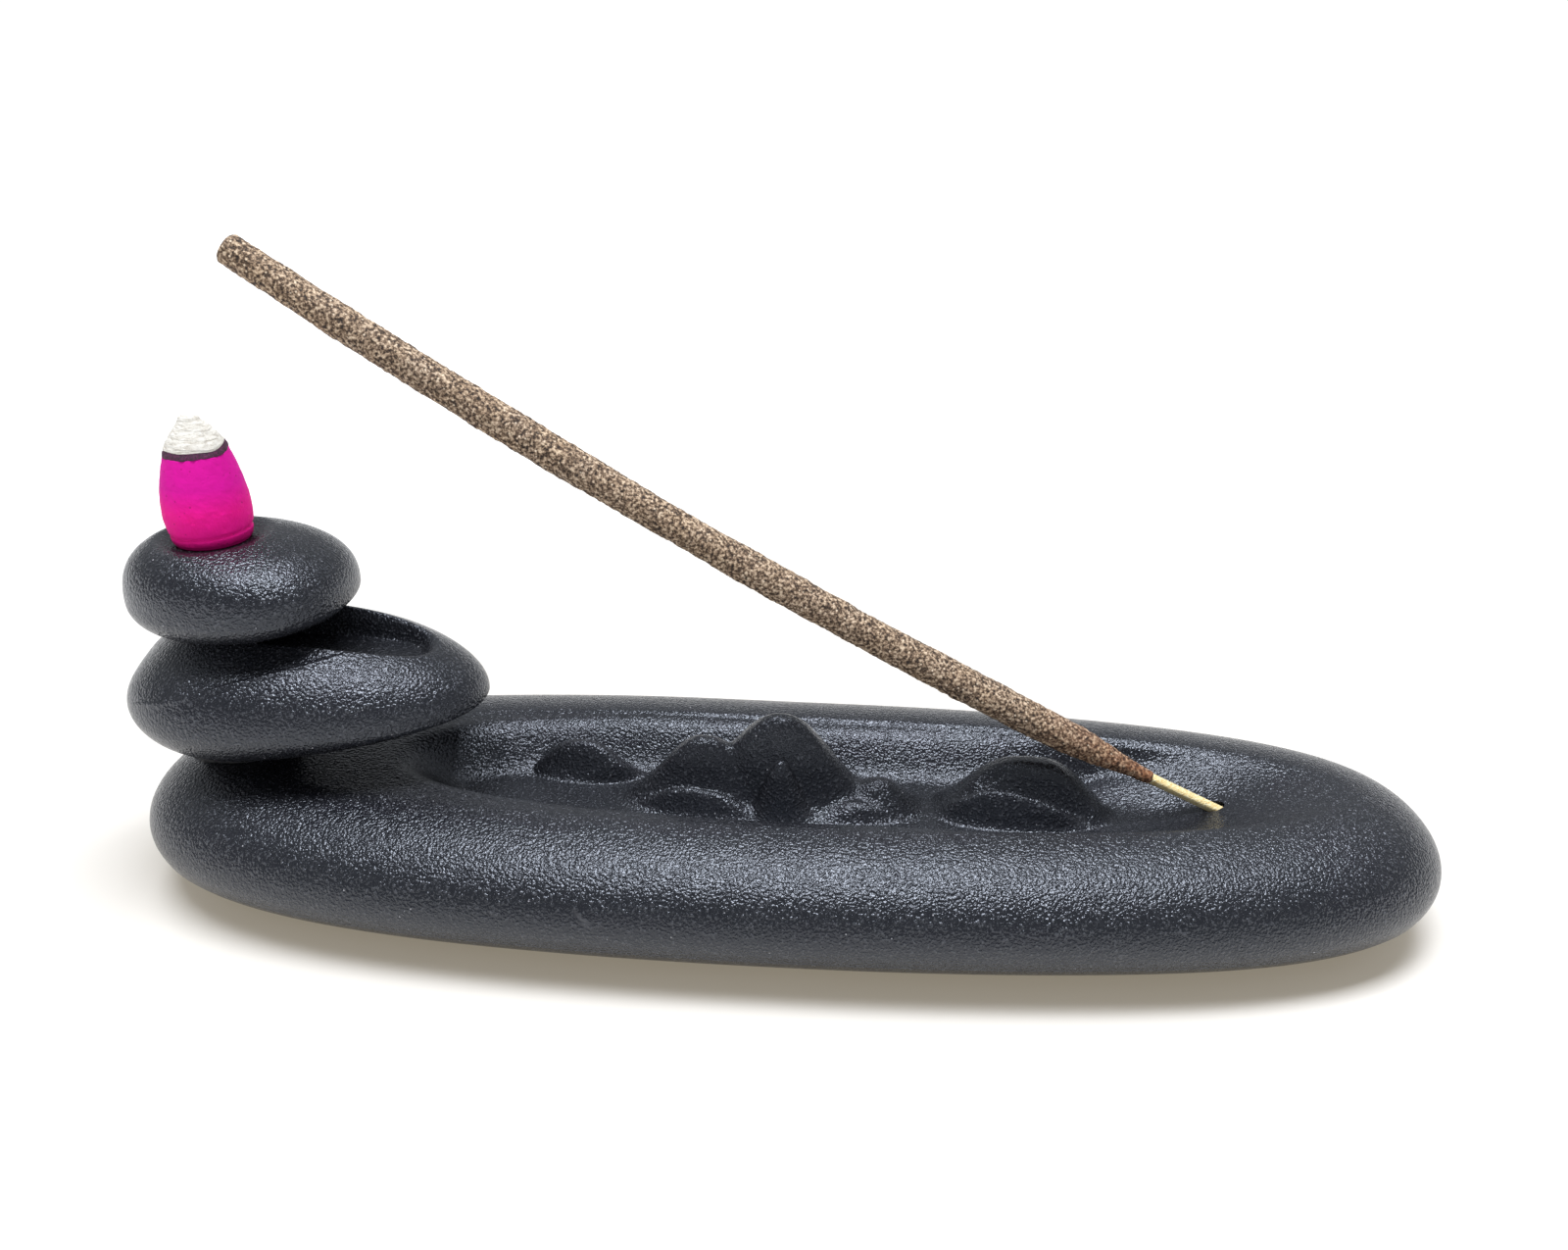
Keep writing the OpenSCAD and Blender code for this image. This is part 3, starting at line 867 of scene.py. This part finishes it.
def make_lower_luting(sides=200, rows=24):
    """A pad of clay that flares where it meets the tray and the pebble's foot."""
    low, high = box_mm("lower_luting")
    angle = turn_angles(sides)
    middle = (low + high)[:2] / 2
    half = (high - low)[:2] / 2
    rings = []
    for k in np.linspace(0, 1, rows):
        flare = 0.9 * (2 * k - 1) ** 2 - 0.25
        plan = oval((*middle, *(half + flare), 2, 0), angle)
        rings.append(at_height(plan, low[2] + (high[2] - low[2]) * k))
    rings = np.array(rings)
    rings[..., :2] += 0.25 * fractal(rings, 3.2, 51)[..., None]
    return skin("lower_luting_clay", rings)


# Inside radius of the horseshoe, and the bearings it starts at and turns through
HORSESHOE_INNER = 2.4
HORSESHOE_START, HORSESHOE_TURN = 45, 270


def make_upper_luting(sides=48, rows=140):
    """A horseshoe of clay between the pebbles, open towards the dish."""
    low, high = box_mm("upper_luting")
    outer = (high[1] - low[1]) / 2
    inner = HORSESHOE_INNER
    middle = np.array([low[0] + outer, (low[1] + high[1]) / 2])
    half_t, half_z = (outer - inner) / 2, (high[2] - low[2]) / 2
    around = turn_angles(sides)
    rings = []
    for k in np.linspace(0, 1, rows):
        bearing = math.radians(HORSESHOE_START + HORSESHOE_TURN * k)
        taper = math.sqrt(max(1 - (2 * k - 1) ** 16, 0.02))
        r = (outer + inner) / 2 + half_t * taper * sign_pow(np.cos(around), 0.7)
        rise = sign_pow(np.sin(around), 0.45)
        r = r - 0.22 * half_t * np.sign(np.cos(around)) * (1 - rise**2)
        plan = middle + r[:, None] * np.array([math.cos(bearing), math.sin(bearing)])
        rings.append(at_height(plan, (low[2] + high[2]) / 2 + half_z * rise))
    rings = np.array(rings)
    rings[..., :2] += 0.10 * fractal(rings, 2.2, 52)[..., None]
    return skin("upper_luting_clay", rings)


# ------------------------ cone

CONE_R = 6.1
CONE_H = 13.2
CONE_BORE_R = 1.5
CONE_BORE_H = 9.0
FOOT_RING_H = 1.8
# Radius of the cone's rounded bottom edge
FOOT_ROUND = 0.45
CHAR_H = 0.9
ASH_H = 4.6
# The top of the char and the foot of the ash are this part of the cone's width there
CHAR_IN = 0.93
# Outline of the ash: parts of the way up, and its radius there as a part of its base
ASH_AT = [0, 0.08, 0.30, 0.53, 0.70, 0.82, 0.93, 1]
ASH_R = [1.0, 0.98, 0.83, 0.63, 0.48, 0.38, 0.31, 0.17]
# Bearing of the crease down the ash, in radians
ASH_CREASE = 5.65


def cone_radius(height):
    f = np.clip(height / CONE_H, 0, 1)
    return CONE_R * (0.83 + 0.17 * np.sin(np.pi * f**0.8) - 0.11 * f * f)


def burn_line(angle):
    """How far above the cone's even top the wavy line of the burn runs."""
    return 0.26 * np.sin(angle + 0.6) + 0.16 * np.sin(2 * angle - 0.9) + 0.07 * np.sin(5 * angle)


def char_line(angle):
    return burn_line(angle) + 0.16 * np.sin(3 * angle + 1.1) + 0.10 * np.sin(4 * angle - 0.4)


def round_rings(angle, radii, heights):
    """Rings from matching arrays of radii and heights (rows, sides)."""
    local = np.stack([radii * np.cos(angle), radii * np.sin(angle), heights], -1)
    return on_axis(local, SEAT, CONE_AXIS)


class Profile:
    """Radii and heights of a round piece, row by row. Either can differ round a row."""

    def __init__(self, sides):
        self.angle = turn_angles(sides)
        self.rows = []

    def add(self, radius, height):
        self.rows.append(np.broadcast_arrays(radius, height, self.angle)[:2])

    def arrays(self):
        """All the radii, and all the heights."""
        return np.array(self.rows).swapaxes(0, 1)


def make_cone(sides=240):
    profile = Profile(sides)
    angle = profile.angle
    for k in (0.02, 1):
        profile.add(CONE_BORE_R * k, CONE_BORE_H + 0.6 * (1 - k))
    for h in np.linspace(CONE_BORE_H - 0.6, 0.1, 12):
        profile.add(CONE_BORE_R, h)
    for r in np.linspace(CONE_BORE_R + 0.1, cone_radius(0) - 0.5, 8):
        profile.add(r, 0)
    for q in np.radians(np.linspace(0, 90, 8)[1:]):
        profile.add(cone_radius(FOOT_ROUND) - FOOT_ROUND + FOOT_ROUND * math.sin(q),
                    FOOT_ROUND * (1 - math.cos(q)))
    ring_h = FOOT_RING_H + 0.16 * np.cos(angle)
    for h in np.linspace(FOOT_ROUND, CONE_H, 110)[1:]:
        pressed = 0.26 * np.exp(-(((h - ring_h) / 0.24) ** 2))
        foot = 0.14 * smooth_step(1.2, 0, h / ring_h)
        lift = burn_line(angle) * smooth_step(0.55, 1.0, h / CONE_H)
        profile.add(cone_radius(h) - pressed + foot, h + lift)
    for k in np.linspace(1, 0.02, 14)[1:]:
        profile.add(cone_radius(CONE_H) * k, CONE_H + burn_line(angle) * k)
    radii, heights = profile.arrays()
    rings = round_rings(angle, radii, heights)
    powder = 0.035 * fractal(rings, 0.7, 61) + 0.05 * noise(rings, 2.6, 62)
    radii = radii + powder * (radii > CONE_BORE_R + 0.2) * (heights > 0.2)
    return skin("cone_powder", round_rings(angle, radii, heights))


def make_char(sides=240):
    """The scorched band: it follows the wavy burn line, thicker in some places."""
    profile = Profile(sides)
    angle = profile.angle
    low, high = burn_line(angle), CHAR_H + char_line(angle)
    base, top = cone_radius(CONE_H), cone_radius(CONE_H) * CHAR_IN
    for k in np.linspace(0.02, 1, 10):
        profile.add(base * k, low * k)
    for k in np.linspace(0, 1, 20)[1:-1]:
        bulge = 0.05 * math.sin(math.pi * k)
        profile.add(base + (top - base) * k + bulge, low + (high - low) * k)
    for k in np.linspace(1, 0.02, 10):
        profile.add(top * k, CHAR_H + (high - CHAR_H) * k)
    radii, heights = profile.arrays()
    rings = round_rings(angle, radii, heights + CONE_H)
    radii = radii + 0.10 * fractal(rings, 0.8, 63) * (radii > 0.9 * top)
    return skin("char_crust", round_rings(angle, radii, heights + CONE_H))


def make_ash(sides=240):
    """Flaky ash in slanting layers, creased down one side and with an uneven tip."""
    profile = Profile(sides)
    angle = profile.angle
    base = cone_radius(CONE_H) * CHAR_IN
    low, top = CHAR_H + char_line(angle), CHAR_H + ASH_H
    for k in np.linspace(0.02, 1, 8):
        profile.add(base * k, CHAR_H + char_line(angle) * k)
    for k in np.linspace(0, 1, 130)[1:]:
        layer = np.mod(k * 4 + angle / (2 * np.pi) * 2, 1)
        flake = 0.05 * (1 - layer) ** 2 * (k < 0.7)
        profile.add(base * np.interp(k, ASH_AT, ASH_R) + flake, low * (1 - k) + top * k)
    for k in (0.5, 0.1):
        profile.add(base * 0.16 * k, top - 0.12)
    radii, heights = profile.arrays()
    rings = round_rings(angle, radii, heights + CONE_H)
    rough = 0.12 * fractal(rings, 1.3, 64, 4) + 0.14 * noise(rings, 3, 65)
    crease = 0.28 * np.exp(-(((angle - ASH_CREASE - 0.08 * heights) / 0.10) ** 2))
    shown = smooth_step(0, 1.2, radii) * smooth_step(CHAR_H - 0.1, CHAR_H + 1, heights)
    radii = radii + (rough - crease) * shown
    tip = smooth_step(0.70, 0.95, heights / top) * smooth_step(0.2, 0.9, radii)
    heights = heights - 0.20 * (np.cos(angle - 0.6) + 1) / 2 * tip
    return skin("ash_flakes", round_rings(angle, radii, heights + CONE_H))


# ------------------------ stick

# Radii of the stick's slight bend and of its core
BEND_R = 1058.0
CORE_R = 0.825
# Lengths along it: inside its hole, bare, where the coating thickens, and from the hole's mouth
# to its end and to its core's end
BURIED = 8.0
BARE = 9.5
TAPER = 16.0
STICK_L = 160.0
CORE_END = 159.4
# The coating's blunt end: how long it is, and how far it stays short of the stick's length
END_ROUND = 0.75
END_SHORT = 0.03
# Radius of the coating at distances from the hole, thickest near its foot
COATING_AT = [9.5, 13, 18, 23, 30, 42, 60, 90, 120, 145, 152, 158]
COATING_R = [1.0, 1.28, 1.95, 2.42, 2.62, 2.60, 2.50, 2.46, 2.44, 2.36, 2.22, 2.12]


def on_stick(distance, across, upward):
    """Points by their distance from the hole along the stick's curve and offsets from it."""
    side = np.array([STICK_AXIS[2], 0, -STICK_AXIS[0]])
    back = np.array([0, 1.0, 0])
    turn = (distance / BEND_R)[..., None]
    middle = HOLE + BEND_R * ((1 - np.cos(turn)) * side + np.sin(turn) * STICK_AXIS)
    normal = np.cos(turn) * side - np.sin(turn) * STICK_AXIS
    return middle + upward[..., None] * normal + across[..., None] * back


def stick_rings(distance, radius, angle):
    distance = np.broadcast_to(distance, radius.shape)
    return on_stick(distance, radius * np.sin(angle), radius * np.cos(angle))


def make_core(sides=96):
    """Split bamboo: a nearly square section with fibres and grooves along it."""
    angle = turn_angles(sides)
    near = np.arange(-BURIED, BARE + 3, 0.12)
    distance = np.concatenate([near, np.linspace(BARE + 3, CORE_END, 60)[1:]])[:, None]
    flat = 1 - 0.045 * (1 - np.cos(4 * (angle - 0.35)))
    radius = CORE_R * flat * np.ones_like(distance)
    # Noise stretched along the stick, so it makes fibres
    around = 3 * np.cos(angle), 3 * np.sin(angle)
    where = np.stack(np.broadcast_arrays(distance * 0.06, *around), -1)
    fibres = np.abs(fractal(where, 0.8, 71)) + np.abs(noise(where, 0.45, 74))
    radius = np.minimum(radius - 0.035 * fibres + 0.02, CORE_R)
    ends = np.array([-BURIED, CORE_END])
    shrink = np.abs(distance - ends).min(1, keepdims=True)
    radius = radius * (0.9 + 0.1 * smooth_step(0, 0.3, shrink))
    return skin("bamboo_core", stick_rings(distance, radius, angle))


def make_coating(sides=110, pitch=0.16):
    """Incense paste rolled on the core: lumps, coarse grain, a taper and a blunt end."""
    angle = turn_angles(sides)
    inside = np.array([CORE_END + 0.05, CORE_END, 100, 40, BARE + 1, BARE])[:, None]
    inner = CORE_R * np.array([0.05, 1, 1, 1, 1, 1])[:, None] * np.ones(sides)
    run = np.arange(BARE, STICK_L - END_ROUND, pitch)
    even = np.interp(run, COATING_AT, COATING_R)
    # Averages each radius with its neighbours, then thins the very foot
    reach = 15
    weights = np.ones(2 * reach + 1) / (2 * reach + 1)
    even = np.convolve(np.pad(even, reach, mode="edge"), weights, mode="valid")
    even[:10] = np.minimum(even[:10], np.linspace(1.0, even[10], 10))
    turn = np.radians(np.linspace(0, 88, 16)[1:])
    dome = even[-1] * np.cos(turn) ** 0.45
    dome_at = STICK_L - END_ROUND - END_SHORT + END_ROUND * np.sin(turn)
    distance = np.concatenate([run, dome_at])[:, None]
    radius = np.concatenate([even, dome])[:, None] * np.ones(sides)
    rings = stick_rings(distance, radius, angle)
    lumps = 0.12 * noise(rings, 7, 81) + 0.10 * noise(rings, 2.6, 82)
    grain = 0.11 * noise(rings, 0.75, 83) + 0.09 * noise(rings, 0.42, 84)
    fade = smooth_step(BARE - 1, BARE + 5, distance) * smooth_step(0, 1.2, radius)
    foot = 0.16 * noise(rings, 1.2, 85) * smooth_step(BARE + 6, BARE, distance)
    radius = radius + (lumps + grain) * fade * 0.85
    distance = distance + foot
    rings = stick_rings(distance, np.maximum(radius, 0.02), angle)
    return skin("incense_coating", np.concatenate([stick_rings(inside, inner, angle), rings]))


# ------------------------ felt

# How far inside the tray's crest line the felt's flat rings are, from its edge inwards
FELT_IN = (3, 6, 12, 18)
FELT_UNDER = 0.02


def make_felt(sides=TRAY_SIDES):
    """The pad under the tray, with a soft fuzzy edge."""
    angle = turn_angles(sides)
    rings = [crest_ring(angle, -out, FELT_UNDER) for out in reversed(FELT_IN)]
    for turn in np.radians(np.linspace(-80, 80, 11)):
        rings.append(crest_ring(angle, -1.35 + 0.35 * math.cos(turn),
                                FELT_TOP / 2 * (1 + 0.97 * math.sin(turn))))
    rings += [crest_ring(angle, -out, FELT_TOP) for out in FELT_IN]
    rings = np.array(rings)
    rings[..., :2] -= 0.12 * np.abs(fractal(rings, 1.1, 91))[..., None] * np.sign(rings[..., :2])
    return skin("felt_pad", rings)


# ------------------------ build

HILLS = (("small_hill", SMALL_HILL_BASE, small_hill_height),
         ("mountain_range", RANGE_BASE, range_height),
         ("right_boulder", BOULDER_BASE, boulder_height))

glaze = ceramic_paint()
joint_clay = joint_paint()
finish_piece(make_felt(), "felt_base", "burner", felt_paint())
finish_piece(make_tray(), "tray", "burner", glaze)
for hill, base, height in HILLS:
    finish_piece(make_hill(hill + "_cast", base, height), hill, "burner", glaze)
finish_piece(make_lower_luting(), "lower_luting", "burner", joint_clay)
finish_piece(make_lower_pebble(), "lower_pebble", "burner", glaze)
finish_piece(make_upper_luting(), "upper_luting", "burner", joint_clay)
finish_piece(make_upper_pebble(), "upper_pebble", "burner", glaze)

CONE_LOW_Z, CONE_HIGH_Z = (corner[2] for corner in box_mm("cone_body"))
finish_piece(make_cone(), "cone_body", "cone",
             cone_paint(CONE_LOW_Z, CONE_HIGH_Z))
finish_piece(make_char(), "char_band", "cone", char_paint())
finish_piece(make_ash(), "ash_cap", "cone", ash_paint())

STICK_SLOPE = math.asin(STICK_AXIS[2])
finish_piece(make_core(), "stick_core", "stick", bamboo_paint(STICK_SLOPE))
# Where along X the coating starts, and where it has its even colour
FOOT_X, EVEN_X = (HOLE[0] + run * STICK_AXIS[0] for run in (BARE, BARE + TAPER + 6))
finish_piece(make_coating(), "stick_coating", "stick",
             coating_paint(FOOT_X, EVEN_X))


# ------------------------ stage

# Half the width of the floor, in metres
FLOOR_HALF = 6.0


def make_floor():
    mesh = bpy.data.meshes.new("floor")
    signs = ((-1, -1), (1, -1), (1, 1), (-1, 1))
    corners = [(x * FLOOR_HALF, y * FLOOR_HALF, 0) for x, y in signs]
    mesh.from_pydata(corners, [], [(0, 1, 2, 3)])
    floor = add_object("floor", mesh)
    paint = Paint("floor")
    # The floor glows: close to the burner a faint warm painted glow lifts and warms its shadow,
    # and far from it the glow rises to white, so the floor brightens into the backdrop
    away = paint.node("ShaderNodeVectorMath", operation="LENGTH")
    paint.link(paint.place, away.inputs[0])
    glow = paint.ramp(away.outputs["Value"], (0.10, (0.22, 0.19, 0.14)),
                      (0.26, (0.60, 0.60, 0.60)), (0.9, (1.1, 1.1, 1.1)))
    paint.set(Base_Color=(0.62, 0.61, 0.60), Roughness=0.6, Specular_IOR_Level=0.2,
              Emission_Color=glow, Emission_Strength=1.0)
    mesh.materials.append(paint.material)


def make_light(name, place, size, power, colour=(1, 1, 1)):
    """An area light that looks at the burner; place and size in metres."""
    data = bpy.data.lights.new(name, "AREA")
    data.shape = "RECTANGLE"
    data.size, data.size_y = size
    data.energy = power
    data.color = colour
    light = add_object(name, data)
    light.location = place
    light.rotation_mode = "QUATERNION"
    light.rotation_quaternion = Vector(place).to_track_quat("Z", "Y")


# Brightness of the surroundings as the burner sees them, towards -Y and towards +Y; the
# backdrop itself is white
WORLD_FRONT = 0.28
WORLD_BACK = 0.46
BACKDROP = 1.1


def make_world():
    world = bpy.data.worlds.new("studio")
    world.use_nodes = True
    tree = world.node_tree
    background = tree.nodes["Background"]
    background.inputs["Color"].default_value = (0.94, 0.97, 1.0, 1)
    place = tree.nodes.new("ShaderNodeTexCoord")
    axes = tree.nodes.new("ShaderNodeSeparateXYZ")
    tree.links.new(place.outputs["Generated"], axes.inputs[0])
    room = tree.nodes.new("ShaderNodeMapRange")
    for socket, value in (("From Min", -1), ("To Min", WORLD_FRONT), ("To Max", WORLD_BACK)):
        room.inputs[socket].default_value = value
    tree.links.new(axes.outputs["Y"], room.inputs["Value"])
    path = tree.nodes.new("ShaderNodeLightPath")
    strength = tree.nodes.new("ShaderNodeMapRange")
    strength.inputs["To Max"].default_value = BACKDROP
    tree.links.new(path.outputs["Is Camera Ray"], strength.inputs["Value"])
    tree.links.new(room.outputs["Result"], strength.inputs["To Min"])
    tree.links.new(strength.outputs["Result"], background.inputs["Strength"])
    bpy.context.scene.world = world


make_floor()
make_world()
make_light("overhead", (0.02, -0.04, 0.75), (0.60, 0.24), 8.4, (0.95, 0.97, 1.0))
bpy.context.scene.view_settings.view_transform = "Standard"
